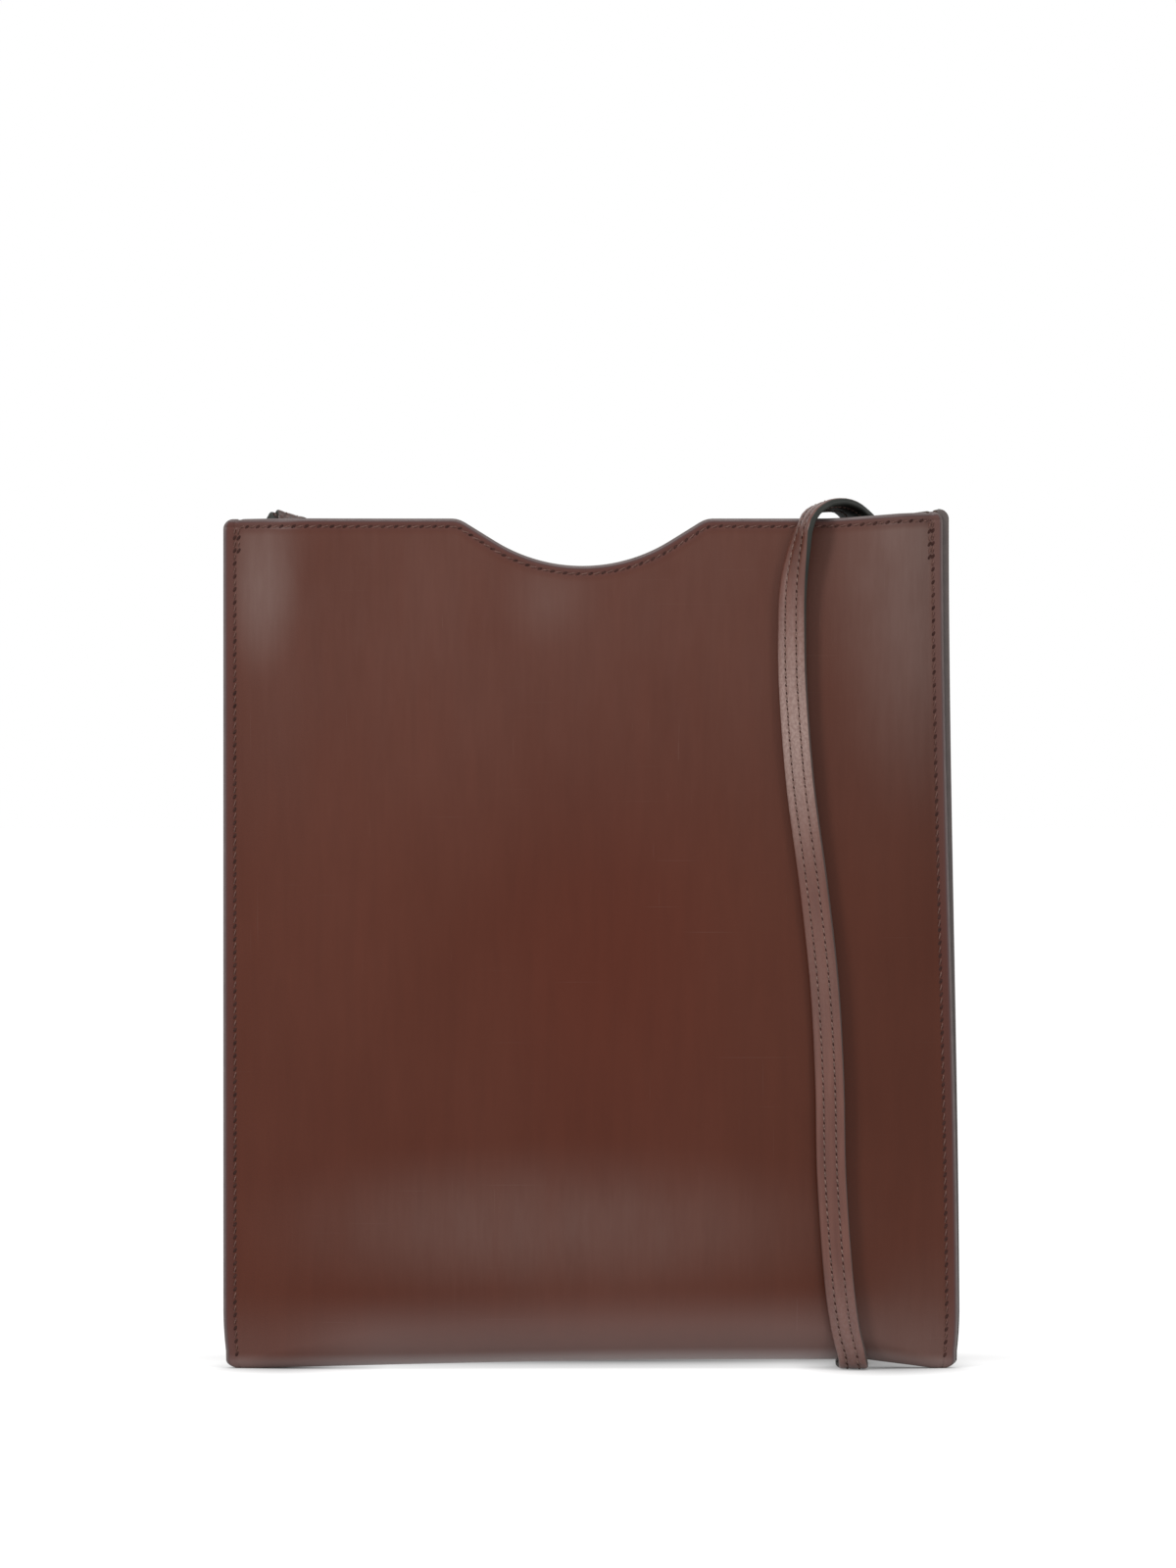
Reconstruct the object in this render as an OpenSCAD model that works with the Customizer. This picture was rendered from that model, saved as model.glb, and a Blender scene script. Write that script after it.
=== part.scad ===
// Slim crossbody purse: one folded sheet of leather, lined, saddle-stitched up both sides,
// with a long flat strap that is knotted behind two holes in the back panel.
// Frame: +Z up, the front panel faces -Y, +X to the right, origin under the middle of the purse.

/* [Purse] */
// Height of the purse from its bottom corners to the top edge
bag_h = 250; // [200:1:300]
// Width across the side seams at the bottom
bag_w = 216.8; // [200:0.2:230]
// How much narrower the top edge is than the bottom
top_taper = 3.4; // [0:0.2:8]
// Depth across the belly, front face to back face
belly_d = 27; // [22:0.5:34]
// Depth across the mouth at its middle
mouth_d = 16.5; // [15:0.5:20]
// Height of the fullest part of the belly
belly_z = 35; // [25:1:60]
// Height of the rounded fold along the bottom
fold_h = 12.5; // [9:0.5:16]
// How far the middle of the bottom fold arches clear of the ground
bottom_arch = 2.8; // [2.8:0.1:5]
// How far the top right corner is drawn up
corner_lift = 2.9; // [0:0.1:5]

/* [Leather] */
// Thickness of the outer leather
leather_t = 1.4; // [1:0.1:1.6]
// Thickness of the lining
lining_t = 0.8; // [0.5:0.1:0.9]
// Width of the flat stitched seam down each side
seam_w = 4.5; // [3:0.5:6]
// Radius of the trimmed corners
corner_r = 3; // [1:0.5:5]

/* [Finger notch] */
// Depth of the notch below the top edge
notch_depth = 13.9; // [8:0.1:20]
// Radius of the notch's round bottom
notch_r = 50; // [40:1:70]
// Half the width of the round stretch, before the straight flanks begin
notch_arc_half = 26; // [20:1:30]
// Sideways place of the notch from the middle of the purse
notch_x = -1; // [-10:0.5:10]

/* [Strap] */
// Width of the strap
strap_w = 8.6; // [7:0.1:9]
// Thickness of the strap, two plies
strap_t = 2.4; // [1.8:0.1:2.5]
// Diameter of the two holes in the back panel
hole_d = 9.6; // [9.2:0.1:12]
// Distance of each hole from the middle of the purse
hole_x = 88; // [84:1:92]
// Height of the holes
hole_z = 241; // [238:0.5:242]
// Width of a strap knot across its flats
knot_d = 14.4; // [13:0.1:15]

/* [Hidden] */

face_colour = [0.37, 0.21, 0.16];
lining_colour = [0.27, 0.20, 0.17];
strap_colour = [0.42, 0.26, 0.20];
tie_colour = [0.20, 0.13, 0.10];

half_w = bag_w / 2;
ply_gap = 0.05;
seam_half = leather_t + lining_t + ply_gap;
glue_gap = 0.03;
seam_line = half_w - seam_w;
belly_gap = belly_d / 2 - seam_half;
mouth_gap = mouth_d / 2 - seam_half;
// The belly is round across the purse low down, and the mouth is flat with tight ends.
belly_roundness = 3;
belly_fullness = 1.2;
mouth_roundness = 12;
// Length of the flat resting stretch under each bottom corner
foot_len = 7;
foot_line = half_w - foot_len;
// The fold rises slowly from the left foot, and comes down just outside the strap under it.
arch_top_x = 45;
arch_end_x = 78;
arch_fall = 11;
right_slope = 0.048;
lift_start = 72;
lift_growth = 1.3;
shoulder_r = 1.2;

function clamp01(t) = max(0, min(1, t));
function mix(a, b, t) = a + (b - a) * t;
function ease(t) = t * t * (3 - 2 * t);
function unit(v) = v / norm(v);

// ---- the purse's form ----

// Depth of a round notch at a distance from its centre, running on as straight flanks.
flank_drop = notch_r - sqrt(pow(notch_r, 2) - pow(notch_arc_half, 2));
flank_slope = notch_arc_half / sqrt(pow(notch_r, 2) - pow(notch_arc_half, 2));
function round_notch(d) =
    d < notch_arc_half ? notch_depth - notch_r + sqrt(pow(notch_r, 2) - pow(d, 2))
                       : notch_depth - flank_drop - (d - notch_arc_half) * flank_slope;
// The shoulders, where the flanks meet the straight top edge, are eased.
function eased_shoulder(drop) =
    drop <= -shoulder_r ? 0
    : drop >= shoulder_r ? drop
    : pow(drop + shoulder_r, 2) / (4 * shoulder_r);
function notch_drop(x) = eased_shoulder(round_notch(abs(x - notch_x)));

function top_z(x) =
    bag_h - notch_drop(x) + corner_lift * pow(clamp01((x - lift_start) / (half_w - lift_start)), lift_growth);

function bottom_z(x) =
    x < arch_top_x ? bottom_arch * sin(90 * clamp01((x + foot_line) / (arch_top_x + foot_line)))
    : mix(bottom_arch, right_slope * max(0, foot_line - x), ease(clamp01((x - arch_end_x) / arch_fall)));

// How far each panel stands off the seam plane, down the purse and across it.
function panel_gap(z) =
    mix(mouth_gap, belly_gap, pow(cos(90 * clamp01((z - belly_z) / (bag_h - belly_z))), belly_fullness));
function bulge(x, z) =
    1 - pow(clamp01(abs(x) / seam_line), mix(belly_roundness, mouth_roundness, pow(clamp01(z / bag_h), 2)));
function half_depth(x, z) = seam_half + panel_gap(z) * bulge(x, z);
function fold_height(x) = mix(seam_half, fold_h, bulge(x, fold_h));

// Side edges: the taper towards the top is all on the right, and the corners are trimmed round.
function trimmed(d) = d >= corner_r ? 0 : corner_r - sqrt(pow(corner_r, 2) - pow(corner_r - d, 2));
function side_half(z, from_top) =
    half_w - top_taper / 2 * ease(clamp01(z / bag_h)) - trimmed(max(0, z)) - trimmed(max(0, from_top));
function side_shift(z) = -top_taper / 2 * ease(clamp01(z / bag_h));

// One point of the folded sheet. row = [side, fraction down the panel, angle round the fold],
// x = place across the purse, skin = depth below the outer face.
fold_flat = 72;
function sheet_point(row, x, skin) =
    let (fold_z = bottom_z(x) + fold_height(x),
         panel_z = mix(top_z(x), fold_z, row[1]),
         depth = half_depth(x, max(panel_z, fold_z)) - skin,
         turn = min(1, sin(row[2]) / sin(fold_flat)),
         z = panel_z - turn * (fold_height(x) - skin),
         seam_z = mix(top_z(x), 2 * seam_half, row[1]) - turn * 2 * seam_half,
         from_top = row[1] * (bag_h - fold_h))
    [x / half_w * side_half(seam_z, from_top) + side_shift(z), row[0] * depth * cos(row[2]), z];

panel_len = bag_h - fold_h - bottom_arch;
CORNER_ROWS = [for (turned = [0:30:90]) corner_r * (1 - cos(turned))];
panel_row_count = 9;
PANEL_ROWS = concat([for (d = CORNER_ROWS) d / panel_len],
                    [for (i = [1:panel_row_count]) mix(corner_r / panel_len, 1, i / panel_row_count)]);
FOLD_ROWS = [for (a = [18:18:fold_flat]) a];
FRONT_ROWS = concat([for (v = PANEL_ROWS) [-1, v, 0]], [for (a = FOLD_ROWS) [-1, 1, a]]);
ROWS = concat(FRONT_ROWS, [[1, 1, 90]],
              [for (i = [len(FRONT_ROWS) - 1:-1:0]) [1, FRONT_ROWS[i][1], FRONT_ROWS[i][2]]]);

// Places across the sheet: close together over the notch and at the seams.
notch_reach = 40;
notch_step = 4;
SIDE_PLACES = [47, 56, 65, 73, 79, 84, 89, 95, 100, seam_line, mix(seam_line, half_w, 0.45), half_w];
COLUMNS = concat([for (i = [len(SIDE_PLACES) - 1:-1:0]) -SIDE_PLACES[i]],
                 [for (x = [-notch_reach:notch_step:notch_reach]) x],
                 SIDE_PLACES);

// A sheet of leather folded under the purse, between two depths below the outer face.
module folded_sheet(outer_skin, inner_skin) {
    rows = len(ROWS);
    cols = len(COLUMNS);
    layer = rows * cols;
    points = [for (skin = [outer_skin, inner_skin]) for (row = ROWS) for (x = COLUMNS)
              sheet_point(row, x, skin)];
    outer_faces = [for (r = [0:rows - 2]) for (c = [0:cols - 2])
        let (a = r * cols + c, b = a + 1, d = a + cols, e = d + 1)
        each [[a, b, d], [b, e, d]]];
    inner_faces = [for (f = outer_faces) [f[0] + layer, f[2] + layer, f[1] + layer]];
    rim_faces = [for (c = [0:cols - 2]) let (a = c, b = c + 1, z = (rows - 1) * cols)
        each [[a, b + layer, b], [a, a + layer, b + layer],
              [z + b, z + a + layer, z + a], [z + b, z + b + layer, z + a + layer]]];
    side_faces = [for (r = [0:rows - 2]) let (a = r * cols, b = a + cols, w = cols - 1)
        each [[b, a + layer, a], [b, b + layer, a + layer],
              [a + w, b + w + layer, b + w], [a + w, a + w + layer, b + w + layer]]];
    polyhedron(points, concat(outer_faces, inner_faces, rim_faces, side_faces), convexity = 8);
}

module strap_hole(side) {
    translate([side * hole_x, 0, hole_z]) rotate([-90, 0, 0]) cylinder(d = hole_d, h = belly_d, $fn = 48);
}

module outer_leather() {
    color(face_colour) difference() {
        folded_sheet(0, leather_t);
        strap_hole(-1);
        strap_hole(1);
    }
}

module lining() {
    color(lining_colour) difference() {
        folded_sheet(leather_t + glue_gap, leather_t + lining_t);
        strap_hole(-1);
        strap_hole(1);
    }
}

// ---- the strap's knots ----

knot_layer = 2;
knot_press = 0.1;
knot_y = 0.2;
knot_turn = 72;
pass_len = knot_d + 3;
neck_y = half_depth(hole_x, hole_z);
tail_start = 3;
tail_len = 6;
tail_w = strap_w - 1;
tail_droop = 22;
left_knot_centre = [-hole_x - 2.3, knot_y, 245.2];
right_knot_centre = [hole_x + 0.3, knot_y, 241.5];

// A flat strap tied in an overhand knot lies as three straight passes, each turned by a fifth
// of a circle from the one below, which make a pentagon. The tail leaves along the middle one.
module pentagon_knot(centre, lean, tail_turn) {
    translate(centre) {
        intersection() {
            for (i = [-1:1])
                translate([0, i * (knot_layer - knot_press), 0]) rotate([0, knot_turn * i + lean, 0])
                    cube([pass_len, knot_layer, strap_w], center = true);
            rotate([90, 0, 0]) cylinder(d = knot_d, h = 4 * knot_layer, center = true, $fn = 48);
        }
        rotate([0, tail_turn, 0]) translate([tail_start, -knot_layer / 2, -tail_w / 2])
            cube([tail_len, knot_layer, tail_w]);
    }
}

// The strap's neck runs from the knot out through the hole in the back panel.
module strap_neck(side) {
    neck_start = knot_y + knot_layer;
    translate([side * hole_x - strap_w / 2, neck_start, hole_z - strap_t / 2])
        cube([strap_w, neck_y - neck_start, strap_t]);
}

module left_knot() {
    color(strap_colour) {
        pentagon_knot(left_knot_centre, 20, tail_droop);
        strap_neck(-1);
    }
}

module right_knot() {
    color(strap_colour) {
        pentagon_knot(right_knot_centre, -14, 180 - tail_droop);
        strap_neck(1);
    }
}

// ---- the strap ----

// Each route point is the strap's centre and the direction across its width.
FRONT_ROUTE = [
    [[88, 7.5, 241], [1, 0, 0]],
    [[88, 9, 241], [1, 0, 0]],
    [[88, 10.8, 241.4], [1, 0, 0]],
    [[85.9, 12.8, 243.4], [0.95, 0, 0.3]],
    [[82.2, 13.1, 247], [0.88, -0.15, 0.45]],
    [[78.9, 10.9, 250.7], [0.8, -0.43, 0.36]],
    [[75.2, 4.3, 253.65], [0.77, -0.58, 0.2]],
    [[70.9, -1.7, 254.1], [0.74, -0.58, 0.28]],
    [[66.5, -8.2, 253], [0.6, -0.74, 0.2]],
    [[63.1, -14, 248.8], [0.37, -0.92, 0.04]],
    [[60.8, -13.7, 240.5], [0.66, -0.75, -0.02]],
    [[59.2, -13.3, 230], [0.85, -0.52, 0]],
    [[58.8, -13.3, 218], [0.9, -0.43, 0]],
    [[59.1, -13.6, 200], [0.92, -0.39, 0]],
    [[61.2, -14.1, 172], [0.93, -0.36, 0]],
    [[65, -14.2, 143], [0.94, -0.33, 0]],
    [[68.2, -14.1, 114], [0.96, -0.28, 0]],
    [[69.8, -13.6, 85], [0.98, -0.2, 0]],
    [[70.4, -13.2, 57], [0.99, -0.14, 0]],
    [[72.4, -12.6, 28], [1, -0.1, 0]],
    [[74.4, -12.2, 13], [1, -0.1, 0]],
    [[76.3, -11.7, 5.4], [1, -0.1, 0]],
    [[76.4, -10, 2.35], [1, -0.1, 0]],
    [[75.2, -6.5, 1.35], [1, 0, 0]],
    [[73.4, 2, 1.28], [1, 0, 0]],
    [[75, 12, 1.45], [1, 0, 0.05]],
    [[77.8, 21, 2.9], [0.92, 0, 0.4]],
    [[78.8, 30, 4.4], [0.6, 0, 0.8]],
    [[78.2, 38, 4.8], [0.2, 0, 0.98]],
    [[78, 46, 4.8], [0, 0, 1]]];

BACK_ROUTE = [
    [[-88, 7.5, 241], [1, 0, 0]],
    [[-88, 10.4, 240.4], [1, 0, 0]],
    [[-88, 11.8, 236.6], [1, 0, 0]],
    [[-87.8, 10.8, 225], [1, 0, 0]],
    [[-87, 10.6, 200], [1, 0, 0]],
    [[-86, 10.8, 170], [1, 0, 0]],
    [[-84.8, 11, 140], [1, 0, 0]],
    [[-83.4, 11.1, 110], [1, 0, 0]],
    [[-82, 11.1, 80], [1, 0, 0]],
    [[-80.8, 11.6, 55], [1, 0, 0]],
    [[-79.6, 13.8, 35], [1, 0, 0]],
    [[-78.6, 18, 22], [1, 0, 0]],
    [[-77.6, 27, 14.4], [1, 0, 0]],
    [[-76.8, 36, 11.8], [1, 0, 0]],
    [[-75, 46, 11], [0.97, -0.2, 0]],
    [[-71, 57, 11.2], [0.92, -0.36, 0.1]],
    [[-64.5, 68, 7.8], [0.6, -0.37, 0.71]],
    [[-55, 76, 5.6], [0.2, -0.25, 0.95]],
    [[-43, 79.6, 4.8], [0, 0, 1]],
    [[-32, 80.2, 4.8], [0, 0, 1]]];

function spline(a, b, c, d, t) =
    (2 * b + (c - a) * t + (2 * a - 5 * b + 4 * c - d) * pow(t, 2) + (3 * b - a - 3 * c + d) * pow(t, 3)) / 2;

// Rings of the swept strap: two for each route point, on one smooth curve.
function route_rings(route, part) =
    let (last = len(route) - 1)
    concat([for (i = [0:last - 1]) for (t = [0, 0.5])
            spline(route[max(0, i - 1)][part], route[i][part], route[i + 1][part],
                   route[min(last, i + 2)][part], t)],
           [route[last][part]]);

strap_flat_edge = 1.4;
strap_bevel = 0.8;
STRAP_SECTION = [for (corner = [[1, -1], [1, 1], [-1, 1], [-1, -1]])
    let (edge = [corner[0] * strap_w / 2, corner[1] * strap_flat_edge / 2],
         face = [corner[0] * (strap_w / 2 - strap_bevel), corner[1] * strap_t / 2])
    each corner[0] * corner[1] < 0 ? [face, edge] : [edge, face]];

module swept_strap(route) {
    centres = route_rings(route, 0);
    widths = route_rings(route, 1);
    last = len(centres) - 1;
    sides = len(STRAP_SECTION);
    rings = [for (i = [0:last])
        let (along = unit(centres[min(last, i + 1)] - centres[max(0, i - 1)]),
             across = unit(widths[i] - along * (widths[i] * along)),
             out = cross(along, across))
        for (s = STRAP_SECTION) centres[i] + across * s[0] + out * s[1]];
    walls = [for (i = [0:last - 1]) for (k = [0:sides - 1])
        let (a = i * sides + k, b = i * sides + (k + 1) % sides)
        each [[a, b + sides, b], [a, a + sides, b + sides]]];
    start_cap = [for (k = [0:sides - 1]) k];
    end_cap = [for (k = [sides - 1:-1:0]) last * sides + k];
    polyhedron(rings, concat([start_cap], walls, [end_cap]), convexity = 8);
}

module strap_front_run() {
    color(strap_colour) swept_strap(FRONT_ROUTE);
}

module strap_back_run() {
    color(strap_colour) swept_strap(BACK_ROUTE);
}

// ---- the spare length, wound on edge behind the purse ----

coil_y = 58;
coil_run = 100;
coil_outer_r = 29.4;
coil_inner_r = 23.6;
coil_bottom = 0.5;
lead_y = 46;
lead_x = 78;

module oval(r) {
    hull() for (side = [-1, 1])
        translate([side * coil_run / 2, 0]) circle(r = r, $fn = 64);
}

module strap_coil() {
    color(strap_colour) translate([0, 0, coil_bottom]) linear_extrude(strap_w) {
        translate([0, coil_y]) difference() {
            oval(coil_outer_r);
            oval(coil_inner_r);
        }
        translate([lead_x - strap_t / 2, lead_y]) square([strap_t, coil_y - lead_y]);
    }
}

tie_w = 5;
tie_t = 0.4;
tie_slack = 0.05;
tie_through = 1;

module strap_tie() {
    bundle_t = coil_outer_r - coil_inner_r + 2 * tie_slack;
    bundle_h = strap_w + 2 * tie_slack;
    color(tie_colour) translate([0, coil_y + (coil_outer_r + coil_inner_r) / 2, coil_bottom + strap_w / 2])
        difference() {
            cube([tie_w, bundle_t + 2 * tie_t, bundle_h + 2 * tie_t], center = true);
            cube([tie_w + tie_through, bundle_t, bundle_h], center = true);
        }
}

outer_leather();
lining();
left_knot();
right_knot();
strap_front_run();
strap_coil();
strap_back_run();
strap_tie();
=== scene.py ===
"""A slim crossbody purse: folded leather, lining, saddle stitching and a long knotted strap."""
import math

import bpy
import numpy as np
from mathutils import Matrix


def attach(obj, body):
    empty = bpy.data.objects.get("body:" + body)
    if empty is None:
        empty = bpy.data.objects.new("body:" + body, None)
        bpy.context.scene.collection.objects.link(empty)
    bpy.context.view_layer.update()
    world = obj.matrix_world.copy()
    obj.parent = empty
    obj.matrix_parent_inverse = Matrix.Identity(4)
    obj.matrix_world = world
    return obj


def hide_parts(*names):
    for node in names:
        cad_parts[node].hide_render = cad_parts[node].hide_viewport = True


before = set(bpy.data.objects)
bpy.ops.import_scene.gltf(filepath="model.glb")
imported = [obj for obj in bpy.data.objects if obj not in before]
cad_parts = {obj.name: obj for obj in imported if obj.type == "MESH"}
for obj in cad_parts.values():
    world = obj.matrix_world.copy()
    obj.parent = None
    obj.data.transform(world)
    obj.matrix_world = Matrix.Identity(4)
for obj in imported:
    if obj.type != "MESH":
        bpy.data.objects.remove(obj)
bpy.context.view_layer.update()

# ---- Camera and studio -------------------------------------------------------------------
# A level camera with a long lens stands straight in front of the purse. The floor is a plain
# glowing white sweep, its glow dimmed by a painted shadow under the purse and its feet, and
# three soft boxes and an even pale room light the leather.
scene = bpy.context.scene
scene.view_settings.view_transform = "Standard"


def in_scene(name, data):
    """A new object in the scene, with its mesh, lamp or camera."""
    placed = bpy.data.objects.new(name, data)
    scene.collection.objects.link(placed)
    return placed


camera_distance = 2.5
view_height = 0.4619
sensor = 24.0
camera_data = bpy.data.cameras.new("camera")
camera_data.sensor_fit = "VERTICAL"
camera_data.sensor_height = sensor
camera_data.lens = sensor * camera_distance / view_height
camera = in_scene("camera", camera_data)
camera.location = (-0.001, -camera_distance, 0.172)
camera.rotation_euler = (math.radians(90), 0, 0)
scene.camera = camera


def new_node(tree, kind, inputs=None, **settings):
    """A node with its settings, each input given a value or joined to the output it follows."""
    made = tree.nodes.new(kind)
    for setting, value in settings.items():
        setattr(made, setting, value)
    for label, value in (inputs or {}).items():
        if isinstance(value, bpy.types.NodeSocket):
            tree.links.new(value, made.inputs[label])
        else:
            made.inputs[label].default_value = value
    return made


def combined(tree, operation, *values):
    """The sum, product or the like of values, each a socket or a plain number."""
    return new_node(tree, "ShaderNodeMath", dict(enumerate(values)), operation=operation).outputs[0]


def product(tree, *values):
    return combined(tree, "MULTIPLY", *values)


def between(tree, value, low, high):
    """A value's smooth rise from 0 at one end to 1 at the other."""
    return new_node(tree, "ShaderNodeMapRange", {"Value": value, "From Min": low, "From Max": high},
                    interpolation_type="SMOOTHSTEP").outputs["Result"]


def mixed(tree, factor, a, b, blend_type="MIX"):
    """Colour a blended towards b, each a socket or a plain colour."""
    return new_node(tree, "ShaderNodeMix", {"Factor": factor, "A": a, "B": b},
                    data_type="RGBA", blend_type=blend_type).outputs["Result"]


def places_on(tree, kind="Object"):
    """Places on the piece itself, or in its own flat map."""
    return new_node(tree, "ShaderNodeTexCoord").outputs[kind]


def soft_patch(tree, places, centre, spread):
    """1 at a place, fading to 0 at the given distances from it."""
    near = new_node(tree, "ShaderNodeMapping", {"Vector": places, "Location": centre, "Scale": spread},
                    vector_type="TEXTURE")
    fade = new_node(tree, "ShaderNodeTexGradient", {"Vector": near.outputs["Vector"]},
                    gradient_type="SPHERICAL")
    return between(tree, fade.outputs["Fac"], 0.0, 1.0)


def seen_directly(tree):
    """A socket that is 1 for rays from the camera and for those that gloss and glass send out."""
    path = new_node(tree, "ShaderNodeLightPath").outputs
    direct = combined(tree, "MAXIMUM", path["Is Camera Ray"], path["Is Glossy Ray"])
    return combined(tree, "MAXIMUM", direct, path["Is Transmission Ray"])


room_light = 0.5
world = bpy.data.worlds.new("pale_room")
world.use_nodes = True
room = world.node_tree
room_strength = new_node(room, "ShaderNodeMapRange", {
    "Value": seen_directly(room), "To Min": room_light, "To Max": 1.0})
background = room.nodes["Background"]
background.inputs["Color"].default_value = (1, 1, 1, 1)
room.links.new(room_strength.outputs["Result"], background.inputs["Strength"])
scene.world = world

floor_half = 30.0
floor_corners = [(x * floor_half, y * floor_half, 0) for x, y in ((-1, -1), (1, -1), (1, 1), (-1, 1))]
floor_mesh = bpy.data.meshes.new("floor")
floor_mesh.from_pydata(floor_corners, [], [(0, 1, 2, 3)])
floor = in_scene("floor", floor_mesh)

floor_white = bpy.data.materials.new("pale_floor")
floor_white.use_nodes = True
tree = floor_white.node_tree
matt = tree.nodes["Principled BSDF"]
matt.inputs["Base Color"].default_value = (0.8, 0.8, 0.8, 1)
matt.inputs["Roughness"].default_value = 0.9
matt.inputs["Specular IOR Level"].default_value = 0.0
on_floor = places_on(tree)
# Painted shadow: soft patches under the purse and by each foot dim the floor's glow, and near the feet an
# occlusion shade darkens it as well.
painted_shadow_under_purse = soft_patch(tree, on_floor, (0, 0.045, 0), (0.16, 0.055, 1))
glow_left = new_node(tree, "ShaderNodeMapRange", {
    "Value": painted_shadow_under_purse, "From Min": 0.04, "From Max": 0.9, "To Min": 0.8, "To Max": 0.12,
}).outputs["Result"]
for centre, spread, share in [
    ((0.086, 0.014, 0), (0.032, 0.078, 1), 0.52),
    ((-0.093, 0.004, 0), (0.022, 0.044, 1), 0.34),
]:
    painted_shadow_near_foot = soft_patch(tree, on_floor, centre, spread)
    glow_left = product(tree, glow_left, combined(tree, "MULTIPLY_ADD", painted_shadow_near_foot, -share, 1.0))
hidden_light = new_node(tree, "ShaderNodeAmbientOcclusion", {"Distance": 0.03}, samples=16)
across = new_node(tree, "ShaderNodeSeparateXYZ", {0: on_floor}).outputs["X"]
from_middle = combined(tree, "ABSOLUTE", across)
near_feet = new_node(tree, "ShaderNodeMapRange", {"Value": from_middle, "From Min": 0.06, "From Max": 0.09})
occlusion_shade_near_feet = mixed(tree, near_feet.outputs["Result"], (1, 1, 1, 1), hidden_light.outputs["Color"])
glow = new_node(tree, "ShaderNodeEmission", {"Color": occlusion_shade_near_feet, "Strength": glow_left})
shadow_catcher = new_node(tree, "ShaderNodeBsdfDiffuse", {"Color": (0.42, 0.42, 0.42, 1)})
bright = new_node(tree, "ShaderNodeAddShader", {0: shadow_catcher.outputs[0], 1: glow.outputs[0]})
by_ray = new_node(tree, "ShaderNodeMixShader", {
    0: seen_directly(tree), 1: matt.outputs[0], 2: bright.outputs[0]})
tree.links.new(by_ray.outputs[0], tree.nodes["Material Output"].inputs["Surface"])
floor_mesh.materials.append(floor_white)

lit_place = (0.0, 0.0, 0.15)
for name, place, width, height, watts in [
    ("left_softbox", (-1.30, -1.75, 1.25), 0.5, 0.6, 24.0),
    ("right_softbox", (1.35, -1.70, 1.25), 0.5, 0.6, 8.5),
    ("top_softbox", (0.0, -0.6, 1.9), 1.2, 0.9, 8.0),
]:
    lamp_data = bpy.data.lights.new(name, "AREA")
    lamp_data.shape = "RECTANGLE"
    lamp_data.size = width
    lamp_data.size_y = height
    lamp_data.energy = watts
    lamp = in_scene(name, lamp_data)
    lamp.location = place
    aim = np.array(lit_place) - np.array(place)
    flat = math.hypot(aim[0], aim[1])
    lamp.rotation_euler = (math.pi / 2 + math.atan2(aim[2], flat), 0, math.atan2(-aim[0], aim[1]))


# ---- Strap -------------------------------------------------------------------------------
# One long flat strap of two leather plies, brown outside and dark behind, sewn along in two
# rows, with thick painted edges. It leaves the right hole, lies over the mouth and down the
# front, passes under the purse to an oval roll on edge, and climbs to the left hole.
mm = 0.001
strap_step = 2.6
places_per_span = 12

front_route = [
    [(88, 7.5, 241), (1, 0, 0)],
    [(88, 9, 241), (1, 0, 0)],
    [(88, 10.8, 241.4), (1, 0, 0)],
    [(85.9, 12.8, 243.4), (0.95, 0, 0.3)],
    [(82.2, 13.1, 247), (0.88, -0.15, 0.45)],
    [(78.9, 10.9, 250.7), (0.8, -0.43, 0.36)],
    [(75.2, 4.3, 253.65), (0.77, -0.58, 0.2)],
    [(70.9, -1.7, 254.1), (0.74, -0.58, 0.28)],
    [(66.5, -8.2, 253), (0.6, -0.74, 0.2)],
    [(63.1, -14, 248.8), (0.37, -0.92, 0.04)],
    [(60.8, -13.7, 240.5), (0.66, -0.75, -0.02)],
    [(59.2, -13.3, 230), (0.85, -0.52, 0)],
    [(58.8, -13.3, 218), (0.9, -0.43, 0)],
    [(59.1, -13.6, 200), (0.92, -0.39, 0)],
    [(61.2, -14.1, 172), (0.93, -0.36, 0)],
    [(65, -14.2, 143), (0.94, -0.33, 0)],
    [(68.2, -14.1, 114), (0.96, -0.28, 0)],
    [(69.8, -13.6, 85), (0.98, -0.2, 0)],
    [(70.4, -13.2, 57), (0.99, -0.14, 0)],
    [(72.4, -12.6, 28), (1, -0.1, 0)],
    [(74.4, -12.4, 13), (0.96, -0.26, 0)],
    [(76.3, -12, 5.4), (0.94, -0.34, 0)],
    [(76.8, -10, 2.35), (0.96, -0.3, 0)],
    [(77, -6.5, 1.35), (1, -0.05, 0)],
    [(76.4, 2, 1.28), (1, 0, 0)],
    [(76.6, 12, 1.45), (1, 0, 0.05)],
    [(77.8, 21, 2.9), (0.92, 0, 0.4)],
    [(78.8, 30, 4.4), (0.6, 0, 0.8)],
    [(78.2, 38, 4.8), (0.2, 0, 0.98)],
    [(78, 46, 4.8), (0, 0, 1)],
]
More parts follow.
